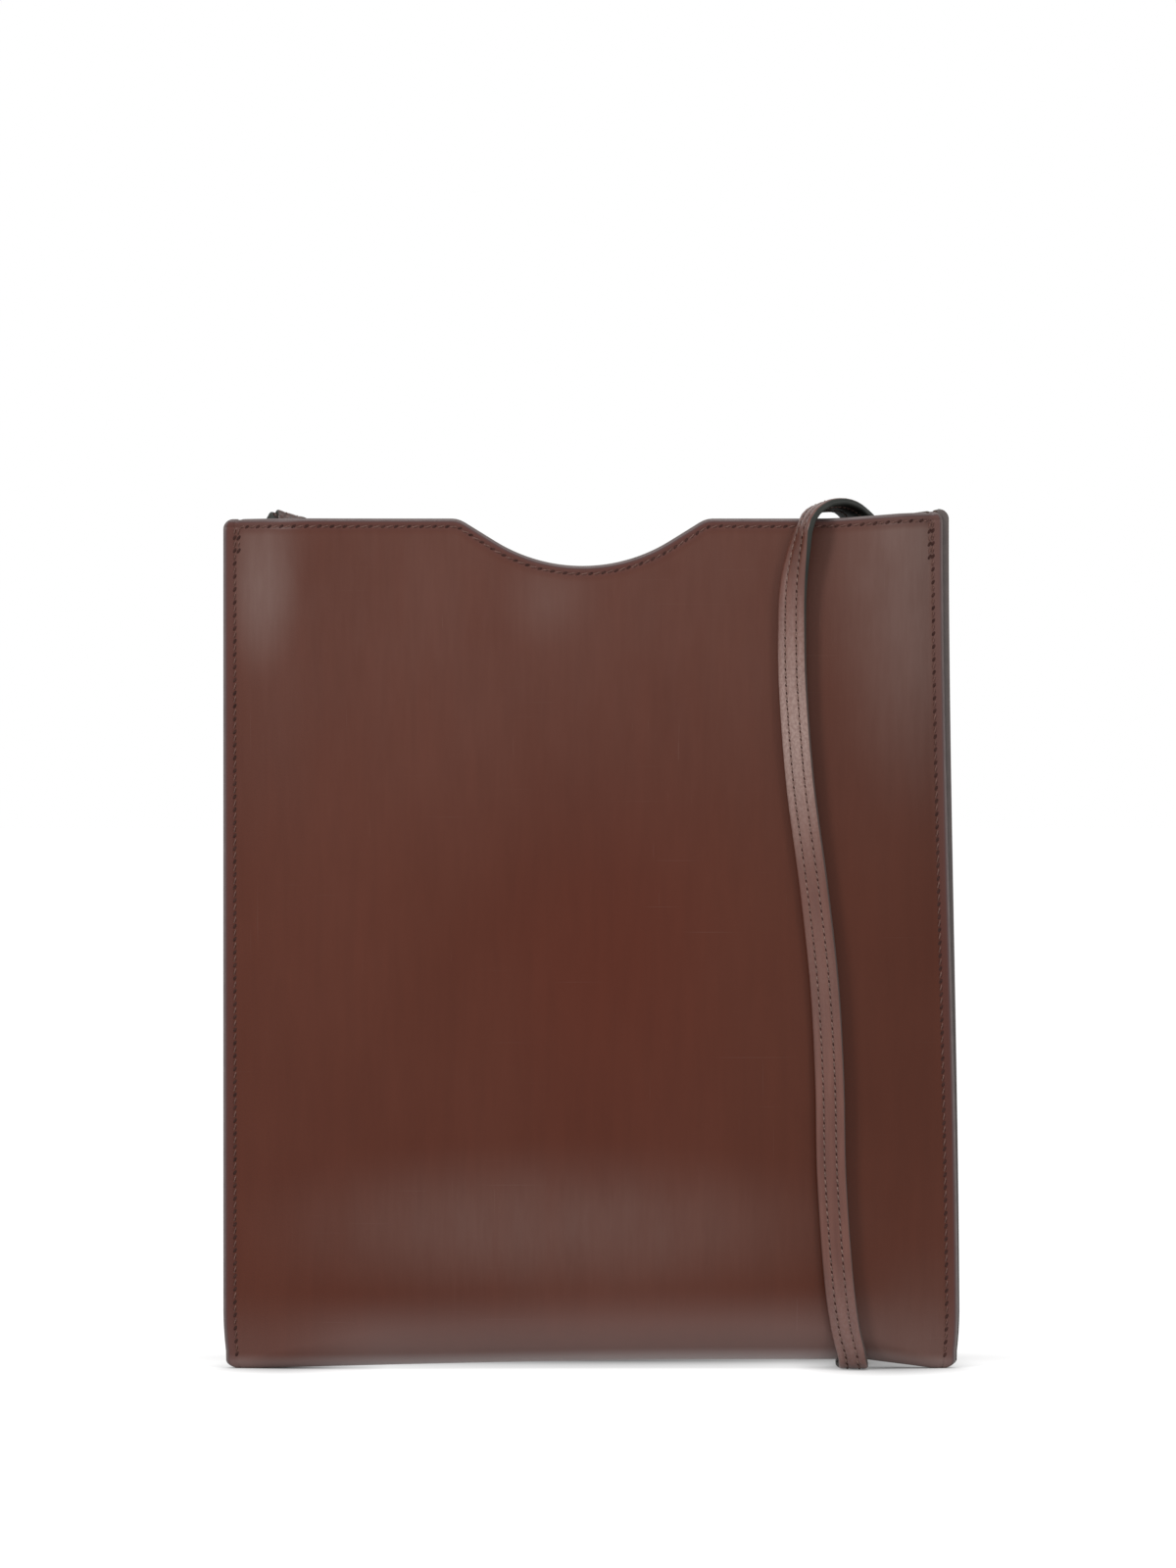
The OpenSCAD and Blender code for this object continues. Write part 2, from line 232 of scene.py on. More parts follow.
back_route = [
    [(-88, 7.5, 241), (1, 0, 0)],
    [(-88, 10.4, 240.4), (1, 0, 0)],
    [(-88, 11.8, 236.6), (1, 0, 0)],
    [(-87.8, 10.8, 225), (1, 0, 0)],
    [(-87, 10.6, 200), (1, 0, 0)],
    [(-86, 10.8, 170), (1, 0, 0)],
    [(-84.8, 11, 140), (1, 0, 0)],
    [(-83.4, 11.1, 110), (1, 0, 0)],
    [(-82, 11.1, 80), (1, 0, 0)],
    [(-80.8, 11.6, 55), (1, 0, 0)],
    [(-79.6, 13.8, 35), (1, 0, 0)],
    [(-78.6, 18, 22), (1, 0, 0)],
    [(-77.6, 27, 14.4), (1, 0, 0)],
    [(-76.8, 36, 11.8), (1, 0, 0)],
    [(-75, 46, 11), (0.97, -0.2, 0)],
    [(-71, 57, 11.2), (0.92, -0.36, 0.1)],
    [(-64.5, 68, 7.8), (0.6, -0.37, 0.71)],
    [(-55, 76, 5.6), (0.2, -0.25, 0.95)],
    [(-43, 79.6, 4.8), (0, 0, 1)],
    [(-32, 80.2, 4.8), (0, 0, 1)],
]

# The roll winds inwards from the right end: end arcs of 180 degrees joined by straight runs.
roll_y = 58
roll_run = 100
roll_start_r = 28.1
roll_pitch = 3.1
roll_z = 4.8
roll_round = 2 * roll_run + 2 * math.pi * (roll_start_r - roll_pitch / 2)
run_steps, arc_step = 10, 15
roll_places = []
wound = 0.0
for _ in range(2):
    for centre, first, last in [(1, 0, 90), (0, 90, 90), (-1, 90, 270), (0, 270, 270), (1, 270, 360)]:
        steps = run_steps if centre == 0 else (last - first) // arc_step
        for i in range(steps):
            t = i / steps
            angle = math.radians(first + (last - first) * t)
            side = centre if centre else (1 - 2 * t) * (1 if first == 90 else -1)
            radius = roll_start_r - roll_pitch * wound / roll_round
            roll_places.append((side * roll_run / 2 + radius * math.cos(angle),
                                roll_y + radius * math.sin(angle), roll_z))
            wound += (roll_run if centre == 0 else radius * math.radians(last - first)) / steps
one_lap = len(roll_places) // 2
on_second_lap = 12
roll_route = [[place, (0, 0, 1)] for place in roll_places[1:one_lap + on_second_lap]]

route = front_route + roll_route + back_route[::-1]


def smooth_curve(points, per_span):
    """A Catmull-Rom curve through the points, with per_span places for each span."""
    padded = np.vstack([points[:1], points, points[-1:]])
    a, b, c, d = padded[:-3], padded[1:-2], padded[2:-1], padded[3:]
    places = []
    for i in range(len(a)):
        for t in np.arange(per_span) / per_span:
            places.append((2 * b[i] + (c[i] - a[i]) * t
                           + (2 * a[i] - 5 * b[i] + 4 * c[i] - d[i]) * t ** 2
                           + (3 * b[i] - a[i] - 3 * c[i] + d[i]) * t ** 3) / 2)
    return np.array(places + [points[-1]])


def unit(vectors):
    return vectors / np.linalg.norm(vectors, axis=-1, keepdims=True)


def distance_along(line):
    """How far along a line each of its points lies."""
    return np.concatenate([[0], np.cumsum(np.linalg.norm(np.diff(line, axis=0), axis=1))])


def read_along(even, gone, rows):
    """Rows of numbers known at some distances, read at even ones."""
    return np.column_stack([np.interp(even, gone, column) for column in rows.T])


def strap_frames(places_and_widths, step):
    """Evenly spaced centres along a strap's route, with the directions along, across and out."""
    route_table = np.array([list(place) + list(width) for place, width in places_and_widths], float)
    curve = smooth_curve(route_table, places_per_span)
    gone = distance_along(curve[:, :3])
    even = np.linspace(0, gone[-1], round(gone[-1] / step) + 1)
    centres = read_along(even, gone, curve[:, :3])
    across = read_along(even, gone, curve[:, 3:])
    along = unit(np.gradient(centres, axis=0))
    across = unit(across - along * (across * along).sum(1, keepdims=True))
    return even, centres, along, across, np.cross(along, across)


# Half of the strap's section, from the middle of the brown face round to the middle behind:
# place across, height out, and what the strip to the next point is made of.
strap_rows_at = 1.76
half_section = [
    (0.0, 1.24, "face"), (0.6, 1.23, "face"), (1.1, 1.17, "face"), (1.45, 1.06, "face"),
    (strap_rows_at, 0.98, "face"), (2.1, 1.07, "face"), (2.5, 1.15, "face"), (3.1, 1.15, "face"),
    (3.55, 1.08, "face"), (3.95, 0.94, "face"), (4.17, 0.72, "edge"), (4.28, 0.42, "edge"),
    (4.3, 0.12, "edge"), (4.22, 0.0, "edge"), (4.3, -0.12, "edge"), (4.28, -0.42, "edge"),
    (4.17, -0.76, "edge"), (3.95, -1.0, "edge"), (3.55, -1.14, "back"), (2.6, -1.17, "back"),
    (strap_rows_at, -1.08, "back"), (1.3, -1.17, "back"), (0.0, -1.2, "back"),
]


finishes = ("face", "edge", "back")


def mirrored(half):
    """The whole section from its half: its points, and which of three finishes each strip has."""
    points = [(a, b) for a, b, _ in half] + [(-a, b) for a, b, _ in half[-2:0:-1]]
    kinds = [kind for _, _, kind in half[:-1]] + [kind for _, _, kind in half[-2::-1]]
    return np.array(points), [finishes.index(kind) for kind in kinds]


def swept_piece(name, frames, half, materials, squeeze=1.0):
    """A strip swept along its frames, with flat ends and lengthwise texture places."""
    gone, centres, along, across, out = frames
    points, strips = mirrored(half)
    a, b = points.T
    squeeze = np.broadcast_to(squeeze, len(centres))
    rings = (centres[:, None] + across[:, None] * a[None, :, None]
             + out[:, None] * (b[None, :] * squeeze[:, None])[:, :, None])
    sides, count = len(points), len(centres)
    faces, kinds, texture = [], [], []
    for i in range(count - 1):
        for k in range(sides):
            n = (k + 1) % sides
            faces.append((i * sides + k, (i + 1) * sides + k, (i + 1) * sides + n, i * sides + n))
            kinds.append(strips[k])
            texture += [(gone[i], a[k]), (gone[i + 1], a[k]), (gone[i + 1], a[n]), (gone[i], a[n])]
    faces.append(tuple(range(sides)))
    faces.append(tuple((count - 1) * sides + k for k in reversed(range(sides))))
    kinds += [finishes.index("edge")] * 2
    texture += [(gone[0], x) for x in a] + [(gone[-1], x) for x in a[::-1]]
    mesh = bpy.data.meshes.new(name)
    mesh.from_pydata((rings.reshape(-1, 3) * mm).tolist(), [], faces)
    layer = mesh.uv_layers.new(name="strap_places")
    layer.data.foreach_set("uv", (np.array(texture) * mm).ravel())
    for material in materials:
        mesh.materials.append(material)
    mesh.polygons.foreach_set("material_index", kinds)
    mesh.shade_smooth()
    return in_scene(name, mesh)


def new_material(name, roughness, specular):
    """A Principled material and its tree, with its own roughness and specular level."""
    material = bpy.data.materials.new(name)
    material.use_nodes = True
    shader = material.node_tree.nodes["Principled BSDF"]
    shader.inputs["Roughness"].default_value = roughness
    shader.inputs["Specular IOR Level"].default_value = specular
    return material, material.node_tree


def surfaced(material, colour, relief):
    """A material with its colour and its relief joined to its shader."""
    tree = material.node_tree
    shader = tree.nodes["Principled BSDF"]
    tree.links.new(colour, shader.inputs["Base Color"])
    tree.links.new(relief, shader.inputs["Normal"])
    return material


def noise(tree, places, scale, detail=3.0, roughness=0.5):
    """An uneven pattern over the places; a scale for each axis makes it run in streaks."""
    if isinstance(scale, tuple):
        places = new_node(tree, "ShaderNodeMapping", {"Vector": places, "Scale": scale}).outputs["Vector"]
        scale = 1.0
    return new_node(tree, "ShaderNodeTexNoise", {
        "Vector": places, "Scale": scale, "Detail": detail, "Roughness": roughness}).outputs["Fac"]


def ramp(tree, factor, *stops):
    """A colour ramp from (place, colour) stops."""
    blend = new_node(tree, "ShaderNodeValToRGB", {"Fac": factor})
    marks = blend.color_ramp.elements
    for mark, (place, colour) in ((marks[0], stops[0]), (marks[1], stops[-1])):
        mark.position, mark.color = place, (*colour, 1)
    for place, colour in stops[1:-1]:
        marks.new(place).color = (*colour, 1)
    return blend.outputs["Color"]


def bump(tree, height, distance, strength=1.0, under=None):
    """A relief from a height, on top of another relief if there is one."""
    inputs = {"Height": height, "Distance": distance, "Strength": strength}
    if under is not None:
        inputs["Normal"] = under
    return new_node(tree, "ShaderNodeBump", inputs).outputs["Normal"]


def strap_face_leather():
    """Smooth brown leather with faint lengthwise grain, with painted sheen and a painted floor reflection
    on its front run.
    """
    material, tree = new_material("strap_face", 0.34, 0.45)
    on_strap, places = places_on(tree, "UV"), places_on(tree)
    streaks = noise(tree, on_strap, (40, 420, 1), 4)
    colour = ramp(tree, streaks, (0.3, (0.085, 0.024, 0.0145)), (0.55, (0.113, 0.037, 0.0240)),
                  (0.75, (0.142, 0.053, 0.0370)))
    grains = between(tree, noise(tree, on_strap, (900, 1100, 1), 2, 0.6), 0.35, 0.65)
    patch_share = combined(tree, "MULTIPLY_ADD", grains, 0.4, 0.6)
    # Patches: darker brown over the arch and dark grey over the left knot; painted sheen down the upper
    # front run, fading lower down; a painted reflection of the floor where the strap turns under.
    for centre, spread, tone, strength in [
        ((0.060, -0.012, 0.246), (0.03, 0.03, 0.026), (0.060, 0.022, 0.014, 1), 0.55),
        ((-0.090, 0.000, 0.248), (0.03, 0.03, 0.030), (0.036, 0.028, 0.025, 1), 0.85),
        ((0.059, -0.014, 0.188), (0.03, 0.03, 0.052), (0.340, 0.240, 0.210, 1), 0.80),
        ((0.067, -0.014, 0.115), (0.03, 0.03, 0.050), (0.300, 0.200, 0.170, 1), 0.12),
        ((0.073, -0.014, 0.008), (0.03, 0.03, 0.030), (0.300, 0.230, 0.220, 1), 0.25),
    ]:
        patch = product(tree, soft_patch(tree, places, centre, spread), patch_share)
        colour = mixed(tree, product(tree, patch, strength), colour, tone)
    wear = bump(tree, noise(tree, on_strap, (700, 900, 1), 3), 0.00010, 0.7)
    return surfaced(material, colour, bump(tree, streaks, 0.00015, 0.4, wear))


def strap_edge_paint():
    """Dark grey edge paint, built up thick and slightly uneven, and paler brown along the front run."""
    material, tree = new_material("strap_edge", 0.55, 0.2)
    blotches = noise(tree, places_on(tree, "UV"), (120, 300, 1), 3)
    colour = ramp(tree, blotches, (0.3, (0.022, 0.024, 0.021)), (0.7, (0.034, 0.036, 0.031)))
    front_run = soft_patch(tree, places_on(tree), (0.066, -0.014, 0.100), (0.05, 0.03, 0.150))
    patch_share = product(tree, between(tree, front_run, 0.0, 0.3), 0.75)
    colour = mixed(tree, patch_share, colour, (0.105, 0.070, 0.062, 1))
    return surfaced(material, colour, bump(tree, blotches, 0.0002, 0.5))


def strap_backing_leather():
    """Dark, dry backing leather with a fibrous surface."""
    material, tree = new_material("strap_backing", 0.6, 0.3)
    fibres = noise(tree, places_on(tree, "UV"), (180, 900, 1), 5)
    colour = ramp(tree, fibres, (0.3, (0.012, 0.012, 0.010)), (0.7, (0.026, 0.025, 0.021)))
    return surfaced(material, colour, bump(tree, fibres, 0.0002, 0.6))


strap_materials = [strap_face_leather(), strap_edge_paint(), strap_backing_leather()]
strap_course = strap_frames(route, strap_step)
strap = swept_piece("strap", strap_course, half_section, strap_materials)
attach(strap, "root")
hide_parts("strap_front_run", "strap_coil", "strap_back_run")


# ---- Stitches along the strap ------------------------------------------------------------
# Waxed thread, machine sewn in two rows through both plies: a short sunk stitch every 2.3 mm
# on each side of the strap, each with its needle hole.
def thread_material(name, dark, light):
    """Waxed thread, with the fine turns of its plies."""
    material, tree = new_material(name, 0.5, 0.25)
    turns = noise(tree, places_on(tree), 1800.0, 2)
    return surfaced(material, ramp(tree, turns, (0.3, dark), (0.7, light)),
                    bump(tree, turns, 0.00012, 0.7))


def needle_hole_material():
    """Dark beads for the needle holes: painted shade of their insides, stained by wax."""
    material, tree = new_material("needle_hole", 0.8, 0.1)
    shade_and_stain = noise(tree, places_on(tree), 900.0, 2)
    colour = ramp(tree, shade_and_stain, (0.3, (0.026, 0.011, 0.009)), (0.7, (0.060, 0.027, 0.022)))
    tree.links.new(colour, tree.nodes["Principled BSDF"].inputs["Base Color"])
    return material


def vector_of(tree, x=0.0, y=0.0, z=0.0):
    """A vector from three numbers or outputs."""
    return new_node(tree, "ShaderNodeCombineXYZ", {"X": x, "Y": y, "Z": z}).outputs[0]


def sewing_tree(name, inputs, make_one, material):
    """A tree that sets one made shape at every point, turned to lie along the row."""
    tree = bpy.data.node_groups.new(name, "GeometryNodeTree")
    tree.interface.new_socket("Row", in_out="INPUT", socket_type="NodeSocketGeometry")
    for label, value in inputs.items():
        socket = tree.interface.new_socket(label, in_out="INPUT", socket_type="NodeSocketFloat")
        socket.default_value = value
    tree.interface.new_socket("Sewn", in_out="OUTPUT", socket_type="NodeSocketGeometry")
    given = new_node(tree, "NodeGroupInput").outputs
    shape = make_one(tree, given)
    turned = None
    for attribute, axis, pivot in [("out", "Z", "AUTO"), ("along", "X", "Z")]:
        direction = new_node(tree, "GeometryNodeInputNamedAttribute", {"Name": attribute},
                             data_type="FLOAT_VECTOR")
        align = new_node(tree, "FunctionNodeAlignRotationToVector",
                         {"Vector": direction.outputs["Attribute"]}, axis=axis, pivot_axis=pivot)
        if turned is not None:
            tree.links.new(turned, align.inputs["Rotation"])
        turned = align.outputs["Rotation"]
    set_down = new_node(tree, "GeometryNodeInstanceOnPoints",
                        {"Points": given["Row"], "Instance": shape, "Rotation": turned})
    real = new_node(tree, "GeometryNodeRealizeInstances", {"Geometry": set_down.outputs["Instances"]})
    finish = new_node(tree, "GeometryNodeSetMaterial",
                      {"Geometry": real.outputs["Geometry"], "Material": material})
    new_node(tree, "NodeGroupOutput", {"Sewn": finish.outputs["Geometry"]})
    return tree


def one_stitch(tree, given):
    """A thread that rises out of one needle hole, lies slanted and dips into the next."""
    reach = product(tree, given["Length"], 0.5)
    back = product(tree, given["Length"], -0.5)
    dip = product(tree, given["Thread"], -0.9)
    thread = new_node(tree, "GeometryNodeCurveQuadraticBezier", {
        "Resolution": 5,
        "Start": vector_of(tree, back, 0.0, dip),
        "Middle": vector_of(tree, 0.0, 0.0, product(tree, given["Thread"], 1.3)),
        "End": vector_of(tree, reach, 0.0, dip)})
    ring = new_node(tree, "GeometryNodeCurvePrimitiveCircle", {
        "Resolution": 6, "Radius": product(tree, given["Thread"], 0.5)})
    solid = new_node(tree, "GeometryNodeCurveToMesh", {
        "Curve": thread.outputs["Curve"], "Profile Curve": ring.outputs["Curve"], "Fill Caps": True})
    slanted = new_node(tree, "GeometryNodeTransform", {
        "Geometry": solid.outputs["Mesh"], "Rotation": vector_of(tree, z=given["Slant"])})
    smooth = new_node(tree, "GeometryNodeSetShadeSmooth", {"Geometry": slanted.outputs["Geometry"]})
    return smooth.outputs["Geometry"]


def one_needle_hole(tree, given):
    """A small sunk slit at the start of each stitch, slanted across the row."""
    bead = new_node(tree, "GeometryNodeMeshIcoSphere", {"Radius": 0.5, "Subdivisions": 2})
    sunk = product(tree, given["Width"], 0.3)
    slit = new_node(tree, "GeometryNodeTransform", {
        "Geometry": bead.outputs["Mesh"],
        "Translation": vector_of(tree, product(tree, given["Pitch"], 0.5)),
        "Rotation": vector_of(tree, z=given["Slant"]),
        "Scale": vector_of(tree, given["Length"], given["Width"], sunk)})
    return slit.outputs["Geometry"]


strap_pitch = 2.3
stitch_sizes = {"Length": 0.0022, "Thread": 0.0004, "Slant": 0.1}
hole_sizes = {"Pitch": strap_pitch * mm, "Length": 0.0008, "Width": 0.0006, "Slant": 0.0}
fine_thread = thread_material("fine_thread", (0.075, 0.040, 0.032), (0.230, 0.142, 0.116))
fine_stitch_tree = sewing_tree("fine_stitch", stitch_sizes, one_stitch, fine_thread)
hole_tree = sewing_tree("needle_hole", hole_sizes, one_needle_hole, needle_hole_material())


def made_plain(piece, modifier):
    """Keeps what a modifier makes of a piece as its plain mesh, and takes the modifier off."""
    seen = bpy.context.evaluated_depsgraph_get()
    made = bpy.data.meshes.new_from_object(piece.evaluated_get(seen), depsgraph=seen)
    piece.modifiers.remove(modifier)
    piece.data = made


def sewn(name, courses, tree, slot, **sizes):
    """Runs a sewing tree along rows of (places, along, out) and keeps one plain mesh."""
    places, along, out = (np.concatenate(part) for part in zip(*courses))
    mesh = bpy.data.meshes.new(name + "_row")
    mesh.from_pydata((places * mm).tolist(), [], [])
    for label, directions in (("along", along), ("out", out)):
        mesh.attributes.new(label, "FLOAT_VECTOR", "POINT").data.foreach_set("vector", directions.ravel())
    row = in_scene(name, mesh)
    modifier = row.modifiers.new("sewing", "NODES")
    modifier.node_group = tree
    for label, value in sizes.items():
        modifier[tree.interface.items_tree[label].identifier] = value
    made_plain(row, modifier)
    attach(row, "root")


def strap_courses(frames, face_height, back_height):
    """The four stitch rows of a strap: two on the face and two behind."""
    _, centres, along, across, out = frames
    return [(centres + across * side * strap_rows_at + out * height, along, out * math.copysign(1, height))
            for side in (-1, 1) for height in (face_height, -back_height)]


stitch_face, stitch_back = 1.01, 1.09
strap_sewing = strap_courses(strap_frames(route, strap_pitch), stitch_face, stitch_back)
sewn("strap_stitches", strap_sewing, fine_stitch_tree, "thread",
     Length=0.0018, Thread=0.00048, Slant=0.25)
sewn("strap_needle_holes", strap_sewing, hole_tree, "strap_leather",
     Pitch=strap_pitch * mm, Length=0.0010, Width=0.00056, Slant=0.35)


# ---- Purse shell -------------------------------------------------------------------------
# One sheet of firm brown leather, folded once along the bottom: front panel, fold and back
# panel, which has two punched holes for the strap. Its sides are sewn into flat seams and its
# free edges are rounded and painted.
purse_height = 250
half_width = 108.4
seam_line = half_width - 4.5
leather = 1.4
lining_leather = 0.8
seam_half = leather + lining_leather + 0.05
belly_half, mouth_half = 13.5, 8.25
belly_gap = belly_half - seam_half
mouth_gap = mouth_half - seam_half
belly_z = 35
fold_tall = 12.5
corner_r = 3.0
side_lean = 1.7
front_short, back_short = 1.5, -0.3
front_push, back_push = 2.6, 0.52
edge_round = 1.15
paint_reach = 0.76
side_stitch_in = 3.5
mouth_stitch_in = 2.4
# Depth and width of the grooves that the side and mouth stitches lie in.
side_groove, mouth_groove = (0.22, 0.45), (0.18, 0.4)
strap_hole_r, strap_hole_x, strap_hole_z = 4.8, 88, 241


def clamp01(t):
    return np.clip(t, 0.0, 1.0)


def ease(t):
    return t * t * (3 - 2 * t)


def softened(t, soft):
    """t, with the corner where it passes zero rounded off, and zero below."""
    return np.where(t > soft, t, np.where(t < -soft, 0.0, (t + soft) ** 2 / (4 * soft)))


notch_middle = -1.0
notch_r, notch_deep, notch_shoulder = 50, 13.9, 1.2
notch_arc, notch_half = 26, 40
corner_lift, lift_from = 2.9, 72


def rim_z(x):
    """Height of the mouth's edge: the finger notch, and the right corner drawn up a little."""
    d = np.abs(x - notch_middle)
    arc_tall = math.sqrt(notch_r ** 2 - notch_arc ** 2)
    round_bottom = np.sqrt(np.maximum(notch_r ** 2 - d * d, 0.0))
    flank = arc_tall - (d - notch_arc) * notch_arc / arc_tall
    drop = notch_deep - notch_r + np.where(d < notch_arc, round_bottom, flank)
    lift = corner_lift * clamp01((x - lift_from) / (half_width - lift_from)) ** 1.3
    return purse_height - softened(drop, notch_shoulder) + lift


foot_x = half_width - 7
arch_rise, arch_top_x, arch_end_x = 2.8, 45, 80


def arch_z(x):
    """Height of the underside, which rests on two corners and arches up over the strap."""
    rise = arch_rise * np.sin(np.pi / 2 * clamp01((x + foot_x) / (arch_top_x + foot_x)))
    slope = arch_rise / (foot_x - arch_end_x)
    return rise - softened(slope * (x - arch_end_x), 0.3) + softened(slope * (x - foot_x), 0.3)


def bulge(x, z):
    """How far a panel is blown out at a place, from 0 at the seams to 1 in the middle."""
    flatness = 3 + 9 * clamp01(z / purse_height) ** 2
    return softened(1 - (np.abs(x) / seam_line) ** flatness, 0.06)


push_x, push_z = 86, 246
push_wide, push_tall = 15, 34


def half_depth(x, z, pushed):
    """Distance from the seam plane to the outer face of a panel, pushed out over the knots."""
    t = clamp01((z - belly_z) / (purse_height - belly_z))
    gap = mouth_gap + (belly_gap - mouth_gap) * np.abs(np.cos(np.pi / 2 * t)) ** 1.2
    over_knots = sum(
        pushed * np.exp(-((x - side * push_x) / push_wide) ** 2 - ((z - push_z) / push_tall) ** 2)
        for side in (-1, 1))
    return seam_half + (gap + over_knots) * bulge(x, z)


def trimmed(d):
    """How far a corner is cut back, at a distance from the corner along its other edge."""
    d = np.clip(d, 0, corner_r)
    return corner_r - np.sqrt(corner_r ** 2 - (corner_r - d) ** 2)


def near_edge(x, reach):
    """1 at the side edge of a panel, falling to 0 at a distance in from it."""
    return clamp01(1 - (half_width - x) / reach)


# Distances in from the free edges at which the grid has its rows and columns: close together
# over the rounded edges and the stitch grooves. Between the side bands the columns are even,
# and finest over the notch.
mouth_places = [0, 0.05, 0.15, 0.3, 0.5, 0.75, 1.05, 1.5, 1.85, 2.1, 2.25, 2.4, 2.55, 2.7, 2.95, 3.4,
                4.2, 5.4]
side_places = [0, 0.05, 0.15, 0.3, 0.5, 0.75, 1.05, 1.6, 2.3, 2.85, 3.15, 3.35, 3.5, 3.65, 3.85, 4.15,
               4.7, 5.4, 6.4, 7.8, 9.6]
panel_rows = 84
# The fold turns under in steps of 6 degrees, and lies flat from 72 degrees on.
fold_angles = np.radians(np.arange(6, 91, 6))
fold_flat = math.sin(math.radians(72))
far_from_rim = 99.0
trim_reach = 5.4
foot_trim, foot_trim_tall, foot_trim_wide = 1.5, 18, 14
short_reach = 12
rim_short_share, rim_short_reach = 0.45, 14
side_columns = half_width - np.array(side_places)
flank_from = notch_half - notch_middle
columns = np.concatenate([
    -side_columns,
    -np.linspace(side_columns[-1], flank_from, 26)[1:-1],
    np.linspace(notch_middle - notch_half, notch_middle + notch_half, 65),
    np.linspace(flank_from, side_columns[-1], 25)[:-1],
    side_columns[::-1]])


def panel_places(side, pushed, short):
    """Outer face of one panel, in rows from its rim down and round under the fold."""
    x, from_middle = columns, np.abs(columns)
    rim = rim_z(x) - rim_short_share * short * near_edge(x, rim_short_reach)
    steepness = np.sqrt(1 + np.gradient(rim, x) ** 2)
    fold_height = seam_half + (fold_tall - seam_half) * bulge(x, fold_tall)
    fold_z = arch_z(x) + fold_height
    lowest = rim - mouth_places[-1] * steepness
    rows = [(rim - d * steepness, np.full_like(x, d), 0.0) for d in mouth_places]
    for t in np.linspace(0, 1, panel_rows + 1)[1:]:
        z = lowest + (fold_z - lowest) * t
        rows.append((z, (rim - z) / steepness, 0.0))
    rows += [(fold_z, np.full_like(x, far_from_rim), angle) for angle in fold_angles]
    places = []
    for z, below, angle in rows:
        turn = min(1.0, math.sin(angle) / fold_flat)
        depth = half_depth(x, np.maximum(z, fold_z), pushed) * math.cos(angle)
        height = z - turn * fold_height
        side_z = np.where(angle > 0, 2 * seam_half * (1 - turn), np.maximum(z, 2 * seam_half))
        up = ease(clamp01(side_z / purse_height))
        cut = (trimmed(side_z) + trimmed(below)) * near_edge(from_middle, trim_reach) ** 1.2
        low_down = clamp01(1 - side_z / foot_trim_tall) ** 2
        cut = cut + foot_trim * low_down * near_edge(from_middle, foot_trim_wide)
        across = x * (1 - side_lean * up / half_width) - side_lean * up - np.sign(x) * cut
        across = across - short * (0.25 + 0.75 * up) * near_edge(x, short_reach) * math.cos(angle)
        places.append((across, side * depth, height, half_width - from_middle, below))
    return places


def outward(places):
    """Unit normals of a grid of places, out of the purse."""
    down = np.gradient(places, axis=0)
    right = np.gradient(places, axis=1)
    return unit(np.cross(down, right))


def rounding(side, below, radius):
    """How far the face lies inside at a distance from the free edges, for rounded edges."""
    a = np.maximum(radius - side, 0)
    b = np.maximum(radius - below, 0)
    return radius - np.sqrt(np.maximum(radius ** 2 - np.minimum(a * a + b * b, radius ** 2), 0))


def groove(distance, line, depth, width):
    return depth * np.exp(-((distance - line) / width) ** 2)


def sheet_piece(name, outer, inner, materials, painted, painted_within, edge_in):
    """A closed sheet between two grids of places, its rim painted, and both faces where told."""
    rows, cols = outer.shape[:2]
    layer = rows * cols
    number = np.arange(layer).reshape(rows, cols)
    a, b, c, d = number[:-1, :-1], number[:-1, 1:], number[1:, 1:], number[1:, :-1]
    quads = [np.stack([a, d, c, b], -1).reshape(-1, 4),
             np.stack([a, b, c, d], -1).reshape(-1, 4) + layer]
    kinds = [painted.ravel().astype(int), painted_within.ravel().astype(int)]
    rim = np.concatenate([number[0, :], number[1:, -1], number[-1, -2::-1], number[-2:0:-1, 0]])
    following = np.roll(rim, -1)
    quads.append(np.stack([rim, following, following + layer, rim + layer], -1))
    kinds.append(np.ones(len(rim), int))
    mesh = bpy.data.meshes.new(name)
    places = np.concatenate([outer.reshape(-1, 3), inner.reshape(-1, 3)]) * mm
    mesh.from_pydata(places.tolist(), [], np.concatenate(quads).tolist())
    for material in materials:
        mesh.materials.append(material)
    mesh.polygons.foreach_set("material_index", np.concatenate(kinds).tolist())
    mesh.attributes.new("edge_in", "FLOAT", "POINT").data.foreach_set("value", np.tile(edge_in.ravel(), 2))
    mesh.shade_smooth()
    return in_scene(name, mesh)


def punch_holes(piece, paint):
    """Cuts the two round strap holes through the back panel and paints their walls."""
    sides = 40
    turns = [2 * math.pi * k / sides for k in range(sides)]
    circle = [(math.cos(turn), math.sin(turn)) for turn in turns]
    places, faces = [], []
    for side in (-1, 1):
        first = len(places)
        for y in (1.0, 2 * belly_gap):
            places += [(side * strap_hole_x + strap_hole_r * a, y, strap_hole_z + strap_hole_r * b)
                       for a, b in circle]
        near = list(range(first, first + sides))
        far = [k + sides for k in near]
        faces += [near, far[::-1]]
        faces += [(near[k - 1], far[k - 1], far[k], near[k]) for k in range(sides)]
    mesh = bpy.data.meshes.new("punch")
    mesh.from_pydata((np.array(places) * mm).tolist(), [], faces)
    mesh.materials.append(paint)
    punch = in_scene("punch", mesh)
    cut = piece.modifiers.new("strap_holes", "BOOLEAN")
    cut.object = punch
    cut.material_mode = "TRANSFER"
    made_plain(piece, cut)
    bpy.data.objects.remove(punch)


